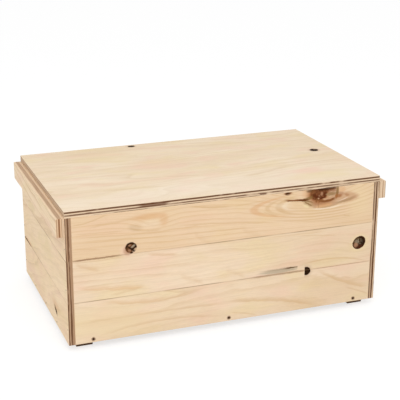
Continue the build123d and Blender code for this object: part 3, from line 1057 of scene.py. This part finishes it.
class PLYBOX_OT_stage(bpy.types.Operator):
    """Sets the camera, the light, the floor and the white background"""

    bl_idname = "plybox.stage"
    bl_label = "Stage"

    def execute(self, context):
        scene = context.scene
        settings = scene.plybox_stage
        camera = bpy.data.objects.new("camera", bpy.data.cameras.new("camera"))
        camera.data.lens = settings.lens
        camera.location = CAMERA_PLACE
        camera.rotation_euler = [math.radians(angle) for angle in CAMERA_ANGLES]
        scene.collection.objects.link(camera)
        scene.camera = camera
        scene.view_settings.view_transform = "Standard"
        self.hang_lamp(scene, settings.key)
        self.paint_sky(scene, settings.dome)
        self.lay_floor(settings.floor)
        return {"FINISHED"}

    def hang_lamp(self, scene, power):
        """A large soft lamp over the front left corner."""
        lamp = bpy.data.objects.new("key_lamp", bpy.data.lights.new("key_lamp", "AREA"))
        lamp.data.energy = power
        lamp.data.size = LAMP_SIZE
        lamp.location = LAMP_PLACE
        lamp.rotation_euler = (-Vector(lamp.location)).to_track_quat("-Z", "Y").to_euler()
        scene.collection.objects.link(lamp)

    def paint_sky(self, scene, strength):
        """White light all round, which the camera, metal and glass see as plain white."""
        scene.world = bpy.data.worlds.new("white_room")
        tree = clear_tree(scene.world)
        dome = add_node(tree, "Background", (1, 1, 1), strength)
        seen = add_node(tree, "Background", (1, 1, 1), 1)
        show(tree, add_node(tree, "MixShader", seen_directly(tree), dome, seen), "World")

    def lay_floor(self, side):
        """A white floor that keeps a faint shadow of the box."""
        mesh = bmesh.new()
        bmesh.ops.create_grid(mesh, x_segments=1, y_segments=1, size=side / 2)
        floor = add_object("floor", mesh, Matrix.Identity(4))
        material = bpy.data.materials.new("white_floor")
        tree = clear_tree(material)
        matt = add_node(tree, "BsdfDiffuse", [FLOOR_WHITE] * 3)
        faint = add_node(tree, "BsdfDiffuse", [FLOOR_GREY] * 3)
        glow = add_node(tree, "Emission", (1, 1, 1), FLOOR_GLOW)
        lit = add_node(tree, "AddShader", faint, glow)
        show(tree, add_node(tree, "MixShader", seen_directly(tree), matt, lit))
        dress(floor, material)
        floor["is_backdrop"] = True


def seen_directly(tree):
    """1 where a surface is seen by the camera or in metal or glass, and 0 where it only gives light."""
    rays = tree.nodes.new("ShaderNodeLightPath")
    direct = Wire(tree, rays.outputs["Is Camera Ray"])
    for kind in ("Is Glossy Ray", "Is Transmission Ray"):
        direct = direct.math("MAXIMUM", Wire(tree, rays.outputs[kind]))
    return direct


def add_object(name, mesh, place):
    """Makes an object from a bmesh, with its place in its mesh."""
    data = bpy.data.meshes.new(name)
    mesh.transform(place)
    mesh.to_mesh(data)
    mesh.free()
    piece = bpy.data.objects.new(name, data)
    bpy.context.scene.collection.objects.link(piece)
    return piece


class PLYBOX_OT_walls(bpy.types.Operator):
    """Finishes the four walls"""

    bl_idname = "plybox.walls"
    bl_label = "Walls"

    def execute(self, context):
        wood = context.scene.plybox_wood
        finish_front(wood)
        finish_left_end(wood)
        lay_wall(wood, "back_panel", 71, 0, 36, 0.5).finish()
        lay_wall(wood, "right_end_panel", 83, -0.12, 36, 0.5).finish()
        return {"FINISHED"}


class PLYBOX_OT_knots(bpy.types.Operator):
    """Makes the two loose knots of the front panel"""

    bl_idname = "plybox.knots"
    bl_label = "Knots"

    def execute(self, context):
        wood = context.scene.plybox_wood
        settings = context.scene.plybox_knots
        left = make_knot("front_left_knot", settings, *LEFT_KNOT, 20.8, 19.8, 0, 3, 1)
        dress(left, knot_material("left_knot", wood, paint_left_knot))
        right = make_knot("front_right_knot", settings, *RIGHT_KNOT, 27.4, 23.4, 35, 5, 6)
        dress(right, knot_material("right_knot", wood, paint_right_knot))
        return {"FINISHED"}


class PLYBOX_OT_lid(bpy.types.Operator):
    """Finishes the lid"""

    bl_idname = "plybox.lid"
    bl_label = "Lid"

    def execute(self, context):
        finish_lid(context.scene.plybox_wood)
        return {"FINISHED"}


class PLYBOX_OT_plain_boards(bpy.types.Operator):
    """Finishes the floor, the cleats, the runners and the battens"""

    bl_idname = "plybox.plain_boards"
    bl_label = "Floor, cleats, runners and battens"

    def execute(self, context):
        wood = context.scene.plybox_wood
        names = ["bottom_panel", "left_handle_cleat", "right_handle_cleat", "left_base_runner"]
        names += ["right_base_runner", "lid_left_batten", "lid_right_batten"]
        for index, name in enumerate(names):
            finish_plain_board(wood, name, 101 + index * 7)
        return {"FINISHED"}


class PLYBOX_OT_fasteners(bpy.types.Operator):
    """Finishes the nails and the screws"""

    bl_idname = "plybox.fasteners"
    bl_label = "Nails and screws"

    def execute(self, context):
        metal = context.scene.plybox_metal
        shade = [part * 0.75 for part in metal.screw]
        nail = metal_material("nail_steel", metal.nail, metal.rust, 0.6, 0.6, 900)
        screw = metal_material("screw_steel", metal.screw, shade, 0.9, 0.22, 700)
        for name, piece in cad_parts.items():
            if name.endswith("nails"):
                dress(piece, nail)
            if name.endswith("screws"):
                dress(piece, screw)
        return {"FINISHED"}


class PLYBOX_PT_panel(bpy.types.Panel):
    """Lists the steps in the sidebar of the 3D view"""

    bl_label = "Plywood box"
    bl_idname = "PLYBOX_PT_panel"
    bl_space_type = "VIEW_3D"
    bl_region_type = "UI"
    bl_category = "Plywood box"

    def draw(self, context):
        for step in STEPS:
            self.layout.operator(step.bl_idname)
        for name in SETTINGS:
            settings = getattr(context.scene, name)
            for key in settings.__annotations__:
                self.layout.prop(settings, key)


STEPS = [PLYBOX_OT_stage, PLYBOX_OT_walls, PLYBOX_OT_knots, PLYBOX_OT_lid]
STEPS += [PLYBOX_OT_plain_boards, PLYBOX_OT_fasteners]
SETTINGS = {
    "plybox_wood": WoodColours,
    "plybox_metal": MetalColours,
    "plybox_knots": KnotSizes,
    "plybox_stage": StageSettings,
}


def register():
    for settings in SETTINGS.values():
        bpy.utils.register_class(settings)
    for name, settings in SETTINGS.items():
        setattr(bpy.types.Scene, name, PointerProperty(type=settings))
    for step in [*STEPS, PLYBOX_PT_panel]:
        bpy.utils.register_class(step)


def unregister():
    for step in [PLYBOX_PT_panel, *reversed(STEPS)]:
        bpy.utils.unregister_class(step)
    for name, settings in SETTINGS.items():
        delattr(bpy.types.Scene, name)
        bpy.utils.unregister_class(settings)


def main():
    register()
    bpy.ops.plybox.stage()
    bpy.ops.plybox.walls()
    bpy.ops.plybox.knots()
    bpy.ops.plybox.lid()
    bpy.ops.plybox.plain_boards()
    bpy.ops.plybox.fasteners()
    boxes = {"cad": CAD_BOX, "visual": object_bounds()}
    sizes = {name: [list(corner) for corner in box] for name, box in boxes.items()}


if __name__ == "__main__":
    main()
